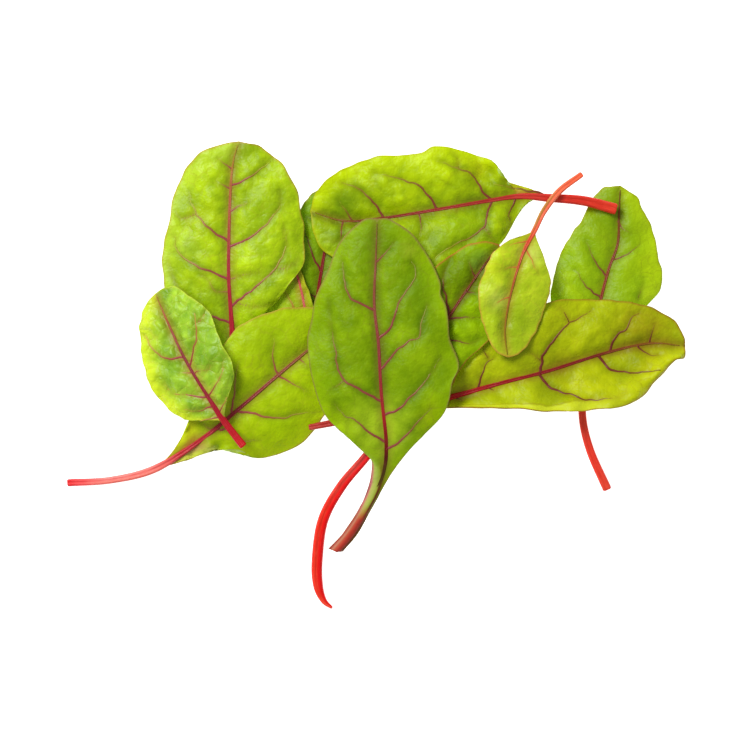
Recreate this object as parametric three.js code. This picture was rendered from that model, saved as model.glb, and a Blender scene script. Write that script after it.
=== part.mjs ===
// A bunch of eleven young swiss chard leaves lying in a heap, seen from above.
// Millimetres. +Z is up, the heap lies on z = 0, and +X runs from the left stem to the right tip.
import * as THREE from "three";

// Driving sizes.
const BLADE_THICK = 0.7; // leaf blade
const RIB_GAP = 0.35; // air between a midrib and the blade on both sides of it
const LAY_GAP = 0.35; // air kept where one leaf lies on another
const PRESSED = 0.3; // how far the lowest spots are pressed flat on the table
const CHANNEL_REACH = 0.2; // share of the blade over which its foot is folded up round the stalk
const SCALE = 1; // whole bunch

// How finely each leaf is divided.
const ACROSS = [0, 0.22, 0.48, 0.75, 1]; // from midrib to margin
const STEM_STEPS = 16;
const CELL = 1; // side of the cells in which leaf heights are compared

// The last rows of a blade: it closes round the midrib's end, then runs out into the tip.
const RIB_END = [0.85, 0.91];
const CLOSED_ROWS = [[0.9, 0.945], [0.955, 0.975]];

// Each leaf, lowest in the heap first. Plan points are x, y.
// rib: from the cut end of the stem to the leaf tip, with the stem's width as third number.
// base: the rib point where the blade starts. left, right: blade margins from there towards the tip.
// veins: where a side vein leaves the rib and where it would meet the margin, both as shares.
// arch: rise of the rib's middle; curl: lift of the tip. fold, droop: slope of a half blade at the
// rib and how far it bends down again. wave: height, count and phase along the margin.
// quilt: rise of the swellings between the veins. channel: extra slope of a foot that is folded up.
const LEAVES = [
  {
    name: "right_back", green: 0x86b414, red: 0xd8201e, base: 3,
    rib: [[81.5, -40.5, 3.2], [75, -25.5, 2.9], [72.5, -12.5, 2.7], [74, 1.5, 2.4], [78, 22, 1.8],
      [81.5, 36, 1.6], [85, 46, 1.4], [85.5, 56, 1.1], [86, 66.5, 0.8]],
    left: [[71, 4.5], [64, 17.5], [61.5, 27.5], [64, 39], [68, 48], [74, 57.5], [76.8, 62.5],
      [80, 65.7], [82.8, 66.2]],
    right: [[78.5, 4.5], [87, 15], [93.5, 22.5], [99, 28.5], [100.4, 31.5], [100.4, 37], [98.4, 46.8],
      [96.8, 53.2], [94, 57.5], [92.2, 62], [88.8, 64.7]],
    veinsLeft: [[0.1, 0.25], [0.35, 0.55], [0.52, 0.72], [0.72, 0.84]],
    veinsRight: [[0.12, 0.3], [0.44, 0.62], [0.62, 0.76]],
    arch: 3.5, curl: 0.5, fold: [0.16, 0.18], droop: [0.22, 0.26], wave: [0.7, 3, 0.1], quilt: 0.7,
  },
  {
    name: "back", green: 0x7da812, red: 0x9a2a2e, base: 2,
    rib: [[-26, -13, 2.4], [-22.5, 0, 2.2], [-21, 10.5, 2], [-20.5, 26, 1.8], [-18.5, 40, 1.6],
      [-16, 53.5, 1.2], [-14.5, 67, 0.8]],
    left: [[-24.5, 13], [-29.5, 22.5], [-32, 35], [-31.5, 46], [-26, 59], [-20, 65.5]],
    right: [[-17.5, 13], [-9.5, 23.5], [-5, 38], [-4.5, 51.5], [-8.5, 63]],
    veinsLeft: [[0.1, 0.2], [0.29, 0.42], [0.51, 0.7], [0.72, 0.84]],
    veinsRight: [[0.2, 0.4], [0.45, 0.66], [0.7, 0.82]],
    arch: 2.2, curl: 0.4, fold: [0.1, 0.1], droop: [0.14, 0.14], wave: [0.5, 3, 0.6], quilt: 0.6,
  },
  {
    name: "back_small", green: 0x93bd2c, red: 0xd98a86, base: 1,
    rib: [[-21, -7.5, 1.8], [-22, 3, 1.6], [-23.5, 13.5, 1.4], [-25, 24, 1.2], [-27, 33, 1],
      [-30.5, 43, 0.8]],
    left: [[-28, 7.5], [-36.5, 15], [-40, 25], [-39.5, 36], [-35, 42]],
    right: [[-20.5, 8.5], [-20.5, 17.5], [-22, 25], [-24.5, 32], [-27.5, 39]],
    veinsLeft: [[0.25, 0.45], [0.6, 0.75]],
    veinsRight: [[0.25, 0.42], [0.6, 0.74]],
    arch: 1.4, curl: 0, fold: [0.08, 0.1], droop: [0.12, 0.1], wave: [0.3, 2, 0.2], quilt: 0.4,
  },
  {
    name: "top_left", green: 0xa8c824, red: 0xa83040, base: 2,
    rib: [[-45, -18.5, 3], [-48, -5.5, 2.8], [-50, 6, 2.6], [-50.5, 17.5, 2.2], [-51.5, 33, 1.8],
      [-51.5, 47, 1.6], [-51, 64.5, 1.3], [-50, 75, 1], [-48, 82, 0.8]],
    left: [[-57.5, 8], [-68.5, 16.5], [-74, 29.5], [-75, 43.5], [-72.5, 56], [-69, 68.5], [-62, 77.5],
      [-54, 81]],
    right: [[-44.5, 11], [-37.5, 21.5], [-31, 30.5], [-25.5, 39], [-25, 49], [-27.5, 64.5],
      [-32.5, 73.5], [-39.5, 79.5]],
    veinsLeft: [[0.05, 0.2], [0.17, 0.46], [0.36, 0.63], [0.54, 0.76], [0.74, 0.86]],
    veinsRight: [[0.05, 0.2], [0.24, 0.56], [0.51, 0.74], [0.7, 0.84]],
    arch: 3.2, curl: 0.6, fold: [0.12, 0.12], droop: [0.16, 0.18], wave: [0.9, 3.5, 0.3], quilt: 0.9,
  },
  {
    name: "top", green: 0xa9cc14, red: 0xc22a26, base: 2,
    rib: [[84.5, 58, 4], [73, 61, 3.5], [61, 62, 3], [50.5, 62.5, 2.4], [40, 61, 2], [22.5, 58, 1.6],
      [3, 55, 1.3], [-11, 54, 1], [-23, 57.5, 0.8]],
    left: [[58, 59.8], [52.3, 59.9], [50, 55.5], [47.5, 50], [44, 45.5], [36.5, 40.5],
      [22.5, 36.5], [5, 36], [-11, 39], [-20.5, 46]],
    right: [[57, 64.7], [50, 66.4], [44, 68.3], [43.2, 70.5], [41.5, 74.2], [38, 76.2],
      [26.5, 79.5], [20, 80], [14.5, 77.5], [2, 76.5], [-11, 72.5], [-20, 65.5]],
    veinsLeft: [[0.1, 0.12], [0.25, 0.46], [0.45, 0.6], [0.62, 0.74], [0.76, 0.84]],
    veinsRight: [[0.1, 0.12], [0.24, 0.42], [0.47, 0.66], [0.69, 0.82]],
    arch: 4, curl: 1, fold: [0.16, 0.22], droop: [0.2, 0.1], wave: [1.1, 4, 0.4], quilt: 1,
  },
  {
    name: "lower_left", green: 0x92b81c, red: 0xf0848c, base: 2,
    rib: [[-108.5, -38, 2.6], [-93, -37, 2.5], [-77.5, -33, 2.8], [-61.5, -23, 2.5],
      [-47.5, -11.5, 2], [-33.5, 0.5, 1.8], [-22, 10, 1.4], [-11.5, 18.5, 1]],
    left: [[-76.9, -30.1], [-72, -27.3], [-68.5, -22.8], [-66, -17.5], [-60.5, -3.5], [-53, 11],
      [-44, 19.5], [-32, 23.5], [-20, 23]],
    right: [[-75.1, -34], [-68.5, -31.2], [-58, -27], [-48.5, -26.2], [-41, -29.3], [-30, -26.5],
      [-21, -18.5], [-12.5, -5.5], [-9, 8.5]],
    veinsLeft: [[0.15, 0.25], [0.41, 0.56], [0.64, 0.74]],
    veinsRight: [[0.12, 0.2], [0.32, 0.45], [0.46, 0.6], [0.66, 0.76]],
    arch: 3.4, curl: 0, fold: [0.14, 0.16], droop: [0.2, 0.24], wave: [1, 3.5, 0.7], quilt: 0.8,
  },
  {
    name: "right", green: 0xa4a818, red: 0xb8242c, base: 2,
    rib: [[-23.5, -18.5, 2.1], [-5.5, -15, 2.8], [12, -11.5, 2.8], [27.5, -7.5, 2.8],
      [43.5, -3, 2.3], [61, 1.5, 1.9], [80, 7.5, 1.6], [96, 11, 1.2], [108.5, 10, 0.8]],
    left: [[19, -1], [34.5, 11], [48.5, 20], [61, 25.5], [75.5, 26.5], [94, 24.5], [104.5, 19],
      [108, 13.5]],
    right: [[17, -14], [36.5, -13], [59, -13], [77.5, -12.5], [90.5, -9], [99, -1], [104.5, 5],
      [108, 6]],
    veinsLeft: [[0.1, 0.15], [0.25, 0.4], [0.47, 0.62], [0.73, 0.8]],
    veinsRight: [[0.12, 0.15], [0.28, 0.38], [0.47, 0.64], [0.7, 0.82]],
    arch: 4, curl: 0.5, fold: [0.14, 0.1], droop: [0.18, -0.16], wave: [0.8, 4, 0.2], quilt: 0.9,
  },
  {
    name: "middle", green: 0x6c9a10, red: 0xd81c20, base: 7,
    rib: [[-15.3, -82, 1], [-18.3, -79.4, 2.2], [-20.3, -74, 3.5], [-20.6, -65, 3.9],
      [-18.5, -51, 3.8], [-12, -39, 3.6], [-2.5, -27.5, 3.2], [8, -12.5, 2.6], [19, 8, 1.8],
      [25.5, 20, 1.5], [33.5, 32, 1.2], [43, 45.5, 0.9]],
    left: [[6.5, -6], [9, 10.5], [13.5, 24.5], [20, 36.5], [28.5, 43.5], [37, 46.5]],
    right: [[13.5, -12.5], [25.5, -4.5], [31.5, 5], [39.5, 12], [44.5, 24.5], [46, 36.5]],
    veinsLeft: [[0.2, 0.35], [0.4, 0.58], [0.58, 0.74]],
    veinsRight: [[0.2, 0.3], [0.42, 0.52], [0.56, 0.67], [0.72, 0.78]],
    arch: 5, curl: 0, fold: [0.16, 0.14], droop: [0.2, 0.22], wave: [0.9, 3, 0.5], quilt: 0.8,
  },
  {
    name: "centre", green: 0x6f9c14, red: 0xa02436, base: 0,
    rib: [[-14.1, -62, 2.6], [-8.6, -55, 2.4], [-2, -44.2, 2.1], [2.6, -34.5, 2], [3.7, -24, 1.9],
      [2, -7, 1.7], [1, 10.5, 1.6], [-0.5, 24.5, 1.4], [0, 39.5, 1.1], [0.5, 54.5, 0.8]],
    left: [[-16.6, -61], [-11.1, -55], [-6, -47.3], [-3, -40.3], [-1.5, -34], [-2.2, -28],
      [-9, -22.5], [-19, -12], [-23.5, 7], [-22, 23], [-17, 36.5], [-11, 48], [-5, 54]],
    right: [[-11.5, -62], [-6.2, -55.6], [-1.6, -47.3], [2.2, -40.3], [6.3, -33.3], [12.5, -25.3],
      [24, -13], [26.5, -3], [29, 3], [25.5, 12], [24.5, 23.5], [22.5, 28], [22, 34], [13.5, 48],
      [6, 54]],
    veinsLeft: [[0.1, 0.09], [0.2, 0.18], [0.28, 0.3], [0.37, 0.48], [0.5, 0.7], [0.72, 0.86]],
    veinsRight: [[0.1, 0.085], [0.2, 0.17], [0.28, 0.26], [0.36, 0.44], [0.46, 0.6], [0.6, 0.76],
      [0.74, 0.86]],
    arch: 4.5, curl: 1, fold: [0.14, 0.16], droop: [0.2, 0.22], wave: [0.8, 4, 0.1], quilt: 0.9,
    channel: 0.8,
  },
  {
    name: "left", green: 0x98be34, red: 0xc8323c, base: 1,
    rib: [[-46, -25, 2.8], [-53, -16, 2.4], [-60, -5.5, 1.9], [-67, 6, 1.6], [-73, 18.5, 1.2],
      [-77.5, 28.5, 0.8]],
    left: [[-59.5, -18], [-69, -14.5], [-79, -4.5], [-82, 7], [-83, 17], [-80.5, 25]],
    right: [[-50.5, -10.5], [-50.5, -5.5], [-49.5, 2.5], [-54.5, 13], [-58.5, 22], [-67, 29],
      [-73, 31]],
    veinsLeft: [[0.08, 0.14], [0.22, 0.46], [0.4, 0.62], [0.58, 0.77]],
    veinsRight: [[0.08, 0.14], [0.22, 0.35], [0.45, 0.66], [0.66, 0.8]],
    arch: 2.4, curl: 0.6, fold: [0.12, 0.14], droop: [0.16, 0.2], wave: [0.8, 3, 0.8], quilt: 1.2,
  },
  {
    name: "small", green: 0xa4c83c, red: 0xee7a5a, base: 3,
    rib: [[72.5, 70.5, 2.1], [64.5, 64.5, 2.4], [59, 57.5, 2.2], [55.5, 50.5, 2], [51, 41.5, 1.7],
      [47, 28, 1.3], [45, 15.5, 1], [46, 6, 0.8]],
    left: [[57.2, 49.6], [57.6, 44.5], [60, 36.5], [61, 31.5], [59, 23], [54.5, 13], [50, 7.5]],
    right: [[53.7, 51.6], [51.2, 49.2], [46, 46.8], [40.2, 41.3], [37, 34], [35.5, 26], [38, 15.5],
      [41.5, 8.5]],
    veinsLeft: [[0.16, 0.3], [0.4, 0.58], [0.65, 0.78]],
    veinsRight: [[0.12, 0.28], [0.31, 0.48], [0.55, 0.72]],
    arch: 3, curl: 0.4, fold: [0.16, 0.16], droop: [0.2, 0.22], wave: [0.6, 2.5, 0.3], quilt: 0.6,
  },
];

// A smooth line through plan points, read by its share of the length. z carries the width.
function track(points) {
  const knots = points.map(([x, y, width = 0]) => new THREE.Vector3(x, y, width));
  const dense = new THREE.CatmullRomCurve3(knots, false, "catmullrom", 0.5).getPoints(
    16 * (knots.length - 1),
  );
  const run = [0];
  for (let i = 1; i < dense.length; i++) {
    run.push(run[i - 1] + Math.hypot(dense[i].x - dense[i - 1].x, dense[i].y - dense[i - 1].y));
  }
  const length = run.at(-1);
  const at = (share) => {
    const s = THREE.MathUtils.clamp(share, 0, 1) * length;
    let i = 1;
    while (i < run.length - 1 && run[i] < s) i++;
    return dense[i - 1].clone().lerp(dense[i], (s - run[i - 1]) / (run[i] - run[i - 1]));
  };
  const ahead = (share) => {
    const way = at(share + 0.012).sub(at(share - 0.012));
    return new THREE.Vector3(way.x, way.y, 0).normalize();
  };
  return { length, at, ahead, shareOf: (i) => run[16 * i] / length };
}

// Height of the rib above its cut end: the stalk's end lies flat and the middle arches up.
function ribHeight(leaf, share) {
  return leaf.arch * Math.sin(Math.PI * share) ** 2 + leaf.curl * share ** 4;
}

// Rows of a half blade: one on each side vein and one on the swelling between two veins.
function bladeRows(veins) {
  const onVeins = [[0, 0], ...veins, RIB_END];
  const rows = [{ a: 0, b: 0, swell: 0 }];
  for (let i = 1; i < onVeins.length; i++) {
    const [a0, b0] = onVeins[i - 1];
    const [a1, b1] = onVeins[i];
    rows.push({ a: (a0 + a1) / 2, b: (b0 + b1) / 2, swell: 1 });
    rows.push({ a: a1, b: b1, swell: 0 });
  }
  return rows;
}

// One point of a half blade: row, share across it, side -1 left or +1 right.
function bladePoint(leaf, rib, margin, row, across, side, closed) {
  const start = rib.shareOf(leaf.base);
  const share = start + (1 - start) * row.a;
  const root = rib.at(share);
  const way = rib.ahead(share);
  const away = new THREE.Vector3(way.y, -way.x, 0).multiplyScalar(side);
  const width = root.z;
  root.z = 0;
  const inner = closed ? root : root.addScaledVector(away, width / 2 + RIB_GAP);
  const outer = margin.at(row.b).setZ(0);
  const span = inner.distanceTo(outer);
  const p = inner.clone().lerp(outer, across);
  if (!closed) p.addScaledVector(way, -0.22 * span * across * (1 - across) * Math.min(1, 4 * row.a));

  const hand = side < 0 ? 0 : 1;
  const level = start + (1 - start) * (row.a + (row.b - row.a) * across);
  const steep = leaf.fold[hand] + (leaf.channel ?? 0) * Math.exp(-((row.a / CHANNEL_REACH) ** 2));
  const [rise, count, phase] = leaf.wave;
  const ripple = Math.sin(2 * Math.PI * (count * row.b + phase + 0.37 * hand)) * across ** 3;
  const bulge = [0.1, 0.75, 1, 0.8, 0.35][ACROSS.indexOf(across)];
  p.z =
    ribHeight(leaf, level) +
    span * (steep * across - leaf.droop[hand] * across ** 2) +
    rise * ripple * Math.min(1, span / 12) +
    leaf.quilt * row.swell * bulge * Math.min(1, span / 10);
  return p;
}

// The middle surface of a blade as points and triangles: two halves, joined beyond the rib's end.
function bladeSurface(leaf, rib) {
  const points = [];
  const faces = [];
  const add = (p) => points.push(p) - 1;
  const tip = add(rib.at(1).setZ(ribHeight(leaf, 1)));
  const spine = [];
  for (const side of [-1, 1]) {
    const margin = track([...(side < 0 ? leaf.left : leaf.right), leaf.rib.at(-1)]);
    const rows = bladeRows(side < 0 ? leaf.veinsLeft : leaf.veinsRight);
    const grid = rows.map((row) =>
      ACROSS.map((u) => add(bladePoint(leaf, rib, margin, row, u, side, false))),
    );
    CLOSED_ROWS.forEach(([a, b], i) => {
      const line = ACROSS.map((u, j) =>
        j === 0 && side > 0
          ? spine[i]
          : add(bladePoint(leaf, rib, margin, { a, b, swell: 0 }, u, side, true)),
      );
      if (side < 0) spine.push(line[0]);
      grid.push(line);
    });
    const face = (a, b, c) => faces.push(side < 0 ? [a, c, b] : [a, b, c]);
    for (let i = 1; i < grid.length; i++) {
      for (let j = 1; j < ACROSS.length; j++) {
        const [p, q, r, s] = [grid[i - 1][j - 1], grid[i - 1][j], grid[i][j], grid[i][j - 1]];
        face(p, q, r);
        face(p, r, s);
      }
    }
    const last = grid.at(-1);
    for (let j = 1; j < ACROSS.length; j++) face(last[j - 1], last[j], tip);
  }
  return { points, faces };
}

// Gives a surface its thickness: both faces divided alike, closed by a wall along every free edge.
function thicken({ points, faces }, thick) {
  const normals = points.map(() => new THREE.Vector3());
  for (const [a, b, c] of faces) {
    const n = points[b].clone().sub(points[a]).cross(points[c].clone().sub(points[a]));
    for (const i of [a, b, c]) normals[i].add(n);
  }
  const n = points.length;
  const vertices = [1, -1].flatMap((way) =>
    points.map((p, i) => p.clone().addScaledVector(normals[i].clone().normalize(), (way * thick) / 2)),
  );
  const edges = new Map();
  const triangles = [];
  for (const [a, b, c] of faces) {
    triangles.push([a, b, c], [n + a, n + c, n + b]);
    for (const [p, q] of [[a, b], [b, c], [c, a]]) {
      if (!edges.delete(`${q},${p}`)) edges.set(`${p},${q}`, [p, q]);
    }
  }
  for (const [p, q] of edges.values()) triangles.push([q, p, n + p], [q, n + p, n + q]);
  return { vertices, triangles };
}

// Section of a stem in units of its width, across and up: flat below, grooved on top.
const STEM_SECTION = [
  [-0.5, 0], [-0.32, -0.42], [0.32, -0.42], [0.5, 0], [0.3, 0.36], [0, 0.22], [-0.3, 0.36],
];

// Leaf stalk and midrib in one, from the cut end to where the blade closes round it.
function stemBody(leaf, rib) {
  const start = rib.shareOf(leaf.base);
  const end = start + (1 - start) * RIB_END[0];
  const sides = STEM_SECTION.length;
  const vertices = [];
  const triangles = [];
  for (let i = 0; i <= STEM_STEPS; i++) {
    const share = (end * i) / STEM_STEPS;
    const centre = rib.at(share);
    const width = centre.z;
    const way = rib.ahead(share);
    const away = new THREE.Vector3(way.y, -way.x, 0);
    centre.z = ribHeight(leaf, share) - 0.12 * width;
    for (const [across, up] of STEM_SECTION) {
      const p = centre.clone().addScaledVector(away, across * width);
      p.z += up * width;
      vertices.push(p);
    }
  }
  for (let i = 0; i < STEM_STEPS; i++) {
    for (let j = 0; j < sides; j++) {
      const p = i * sides + j;
      const q = i * sides + ((j + 1) % sides);
      triangles.push([p, q + sides, q], [p, p + sides, q + sides]);
    }
  }
  for (const [ring, way] of [[0, 1], [STEM_STEPS, -1]]) {
    const first = ring * sides;
    const centre = vertices.push(vertices[first].clone().lerp(vertices[first + 3], 0.5)) - 1;
    for (let j = 0; j < sides; j++) {
      const [p, q] = [first + j, first + ((j + 1) % sides)];
      triangles.push(way > 0 ? [centre, p, q] : [centre, q, p]);
    }
  }
  return { vertices, triangles };
}

const cellKey = (i, j) => i * 4096 + j;

// Goes through the cells under a body's triangles and hands on their heights.
function forCells({ vertices, triangles }, visit) {
  for (const [ia, ib, ic] of triangles) {
    const [a, b, c] = [vertices[ia], vertices[ib], vertices[ic]];
    const area = (b.x - a.x) * (c.y - a.y) - (b.y - a.y) * (c.x - a.x);
    if (Math.abs(area) < 1e-9) continue;
    const [i0, i1] = [Math.min(a.x, b.x, c.x), Math.max(a.x, b.x, c.x)].map((v) => v / CELL);
    const [j0, j1] = [Math.min(a.y, b.y, c.y), Math.max(a.y, b.y, c.y)].map((v) => v / CELL);
    for (let i = Math.ceil(i0); i <= i1; i++) {
      for (let j = Math.ceil(j0); j <= j1; j++) {
        const [x, y] = [i * CELL, j * CELL];
        const v = ((b.x - a.x) * (y - a.y) - (b.y - a.y) * (x - a.x)) / area;
        const u = ((x - a.x) * (c.y - a.y) - (y - a.y) * (c.x - a.x)) / area;
        if (u < 0 || v < 0 || u + v > 1) continue;
        visit(i, j, a.z + u * (b.z - a.z) + v * (c.z - a.z));
      }
    }
    for (const p of [a, b, c]) visit(Math.round(p.x / CELL), Math.round(p.y / CELL), p.z);
  }
}

// The plane through three needs, as height, slope along x and slope along y.
function planeThrough([p, q, r]) {
  const det = (q.x - p.x) * (r.y - p.y) - (q.y - p.y) * (r.x - p.x);
  const sx = ((q.need - p.need) * (r.y - p.y) - (r.need - p.need) * (q.y - p.y)) / det;
  const sy = ((r.need - p.need) * (q.x - p.x) - (q.need - p.need) * (r.x - p.x)) / det;
  return { sx, sy, z: p.need - sx * p.x - sy * p.y };
}

// How far a point lies inside a triangle's sides, as the least of its three shares.
function insideTriangle([p, q, r], x, y) {
  const area = (a, b) => (a.x - x) * (b.y - y) - (a.y - y) * (b.x - x);
  const all = (q.x - p.x) * (r.y - p.y) - (q.y - p.y) * (r.x - p.x);
  return Math.min(area(p, q) / all, area(q, r) / all, area(r, p) / all);
}

// Lets a body down until it rests on three points round its middle.
function restingPlane(needs, x, y) {
  let three = [[-900, -700], [900, -700], [0, 1100]].map(([dx, dy]) => ({
    x: x + dx, y: y + dy, need: -500,
  }));
  for (let turn = 0; turn < 400; turn++) {
    const plane = planeThrough(three);
    let worst = null;
    let miss = 1e-4;
    for (const n of needs) {
      const short = n.need - (plane.z + plane.sx * n.x + plane.sy * n.y);
      if (short > miss) [worst, miss] = [n, short];
    }
    if (!worst) return plane;
    const swaps = [0, 1, 2].map((k) => three.map((t, i) => (i === k ? worst : t)));
    swaps.sort((s, t) => insideTriangle(t, x, y) - insideTriangle(s, x, y));
    three = swaps[0];
  }
  return planeThrough(three);
}

// Lays one leaf on those already in the heap and adds its upper side to the heap's heights.
function layDown(bodies, heap) {
  const under = new Map();
  for (const body of bodies) {
    forCells(body, (i, j, z) => {
      const key = cellKey(i + 2000, j + 2000);
      const cell = under.get(key);
      if (!cell) under.set(key, { i, j, z });
      else if (z < cell.z) cell.z = z;
    });
  }
  const needs = [...under.values()].map(({ i, j, z }) => {
    let floor = -PRESSED;
    for (let di = -1; di <= 1; di++) {
      for (let dj = -1; dj <= 1; dj++) {
        const top = heap.get(cellKey(i + di + 2000, j + dj + 2000));
        if (top !== undefined) floor = Math.max(floor, top + LAY_GAP);
      }
    }
    return { x: i * CELL, y: j * CELL, need: floor - z };
  });
  const x = needs.reduce((sum, n) => sum + n.x, 0) / needs.length;
  const y = needs.reduce((sum, n) => sum + n.y, 0) / needs.length;
  const plane = restingPlane(needs, x, y);
  for (const body of bodies) {
    for (const p of body.vertices) {
      p.z = Math.max(0, p.z + plane.z + plane.sx * p.x + plane.sy * p.y);
    }
    forCells(body, (i, j, z) => {
      const key = cellKey(i + 2000, j + 2000);
      heap.set(key, Math.max(z, heap.get(key) ?? 0));
    });
  }
}

function toMesh(name, { vertices, triangles }, color, roughness) {
  const geometry = new THREE.BufferGeometry();
  const flat = vertices.flatMap((p) => [p.x * SCALE, p.y * SCALE, p.z * SCALE]);
  geometry.setAttribute("position", new THREE.Float32BufferAttribute(flat, 3));
  geometry.setIndex(triangles.flat());
  geometry.computeVertexNormals();
  const mesh = new THREE.Mesh(geometry, new THREE.MeshStandardMaterial({ color, roughness }));
  mesh.name = name;
  return mesh;
}

const bunch = new THREE.Group();
const heap = new Map();
for (const leaf of LEAVES) {
  const rib = track(leaf.rib);
  const blade = thicken(bladeSurface(leaf, rib), BLADE_THICK);
  const stem = stemBody(leaf, rib);
  layDown([blade, stem], heap);
  bunch.add(toMesh(`${leaf.name}_blade`, blade, leaf.green, 0.55));
  bunch.add(toMesh(`${leaf.name}_stem`, stem, leaf.red, 0.4));
}

export default bunch;
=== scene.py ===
# %% [markdown]
# # A bunch of young swiss chard leaves
# Eleven leaves lie in a loose heap and are seen straight from above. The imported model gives
# the place and the form of every leaf. This script dresses it: each blade becomes a fine sheet
# that swells between its veins, each stalk a grooved rod, and both get their living colours.

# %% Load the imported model
import math

import bpy
import numpy as np
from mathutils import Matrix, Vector, noise


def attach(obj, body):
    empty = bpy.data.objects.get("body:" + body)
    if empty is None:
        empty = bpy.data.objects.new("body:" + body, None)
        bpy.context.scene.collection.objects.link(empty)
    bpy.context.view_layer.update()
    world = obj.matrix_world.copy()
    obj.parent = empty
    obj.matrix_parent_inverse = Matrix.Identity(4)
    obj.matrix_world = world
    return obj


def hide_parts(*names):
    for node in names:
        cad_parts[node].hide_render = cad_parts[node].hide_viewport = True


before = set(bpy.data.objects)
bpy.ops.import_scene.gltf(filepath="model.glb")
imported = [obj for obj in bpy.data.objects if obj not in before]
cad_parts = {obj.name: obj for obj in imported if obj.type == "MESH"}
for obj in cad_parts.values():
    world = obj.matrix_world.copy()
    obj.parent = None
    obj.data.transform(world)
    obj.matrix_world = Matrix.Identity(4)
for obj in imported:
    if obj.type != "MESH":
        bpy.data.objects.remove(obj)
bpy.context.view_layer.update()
MM = 0.001

# %% [markdown]
# ## The plan of the leaves
# A leaf is known by three lines: its rib from the cut end of the stalk to the tip, with the
# stalk's width as third number, and its two margins from the blade's foot towards the tip. The
# side veins that can be seen run from the rib outward, and forks are their branches. All of it
# is in millimetres, and the list goes from the bottom of the heap up.
#
# base counts the rib points before the blade. quilt scales the swellings, ruffle the waves of
# the margin and bold the side veins. seen is the share of the stalk's width that shows in the
# blade. The foot opens over the share taper and closes round the stalk over the share hood.
# slack eases the sheet off its posts. turned lifts the right margin: beyond which part of the
# half blade, from and to which share of the length, and how high.

# %% Outlines, ribs and side veins
USUAL = dict(seen=0.76, bold=1, taper=0.07, hood=0, slack=0.05, turned=None, forks=[])
LEAVES = {}
LEAVES["right_back"] = USUAL | dict(
    base=3, quilt=0.8, ruffle=0.3, seen=0.7,
    rib=[(81.5, -40.5, 3.2), (75, -25.5, 2.9), (72.5, -12.5, 2.7), (74, 1.5, 2.4), (78, 22, 1.8),
        (81.5, 36, 1.6), (85, 46, 1.4), (85.5, 56, 1.1), (86, 66.5, 0.8)],
    left=[(71, 4.5), (64, 17.5), (61.5, 27.5), (64, 39), (68, 48), (74, 57.5), (76.8, 62.5), (80, 65.7),
        (82.8, 66.2)],
    right=[(78.5, 4.5), (87, 15), (93.5, 22.5), (99, 28.5), (100.4, 31.5), (100.4, 37), (98.4, 46.8),
        (96.8, 53.2), (94, 57.5), (92.2, 62), (88.8, 64.7)],
    veins=[[(81, 34.5), (78.5, 37.5), (76.5, 41), (74, 47)], [(84, 40.5), (87, 41.5), (90, 43.5), (93, 46)],
        [(85, 54), (87, 51.5), (89.5, 49.5)], [(79, 27), (74, 31), (70, 37)]],
    forks=[[(92, 27), (93, 29.5), (94, 33)]],
)
LEAVES["back"] = USUAL | dict(
    base=2, quilt=0.8, ruffle=0.2,
    rib=[(-26, -13, 2.4), (-22.5, 0, 2.2), (-21, 10.5, 2), (-20.5, 26, 1.8), (-18.5, 40, 1.6),
        (-16, 53.5, 1.2), (-14.5, 67, 0.8)],
    left=[(-24.5, 13), (-29.5, 22.5), (-32, 35), (-31.5, 46), (-26, 59), (-20, 65.5)],
    right=[(-17.5, 13), (-9.5, 23.5), (-5, 38), (-4.5, 51.5), (-8.5, 63)],
    veins=[[(-20.5, 27), (-23.5, 28.5), (-26, 30.5)],
        [(-19.5, 36.5), (-22, 41.5), (-23.5, 46), (-25, 51.5)], [(-17, 50), (-20, 53), (-24, 55.5)],
        [(-17, 49), (-12, 53), (-10, 58)]],
)
LEAVES["back_small"] = USUAL | dict(
    base=1, quilt=0.5, ruffle=0.1,
    rib=[(-21, -7.5, 1.8), (-22, 3, 1.6), (-23.5, 13.5, 1.4), (-25, 24, 1.2), (-27, 33, 1),
        (-30.5, 43, 0.8)],
    left=[(-28, 7.5), (-36.5, 15), (-40, 25), (-39.5, 36), (-35, 42)],
    right=[(-20.5, 8.5), (-20.5, 17.5), (-22, 25), (-24.5, 32), (-27.5, 39)],
    veins=[[(-24, 16), (-28, 22), (-32, 30)], [(-23.5, 14), (-22, 18), (-21.5, 21)]],
)
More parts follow.
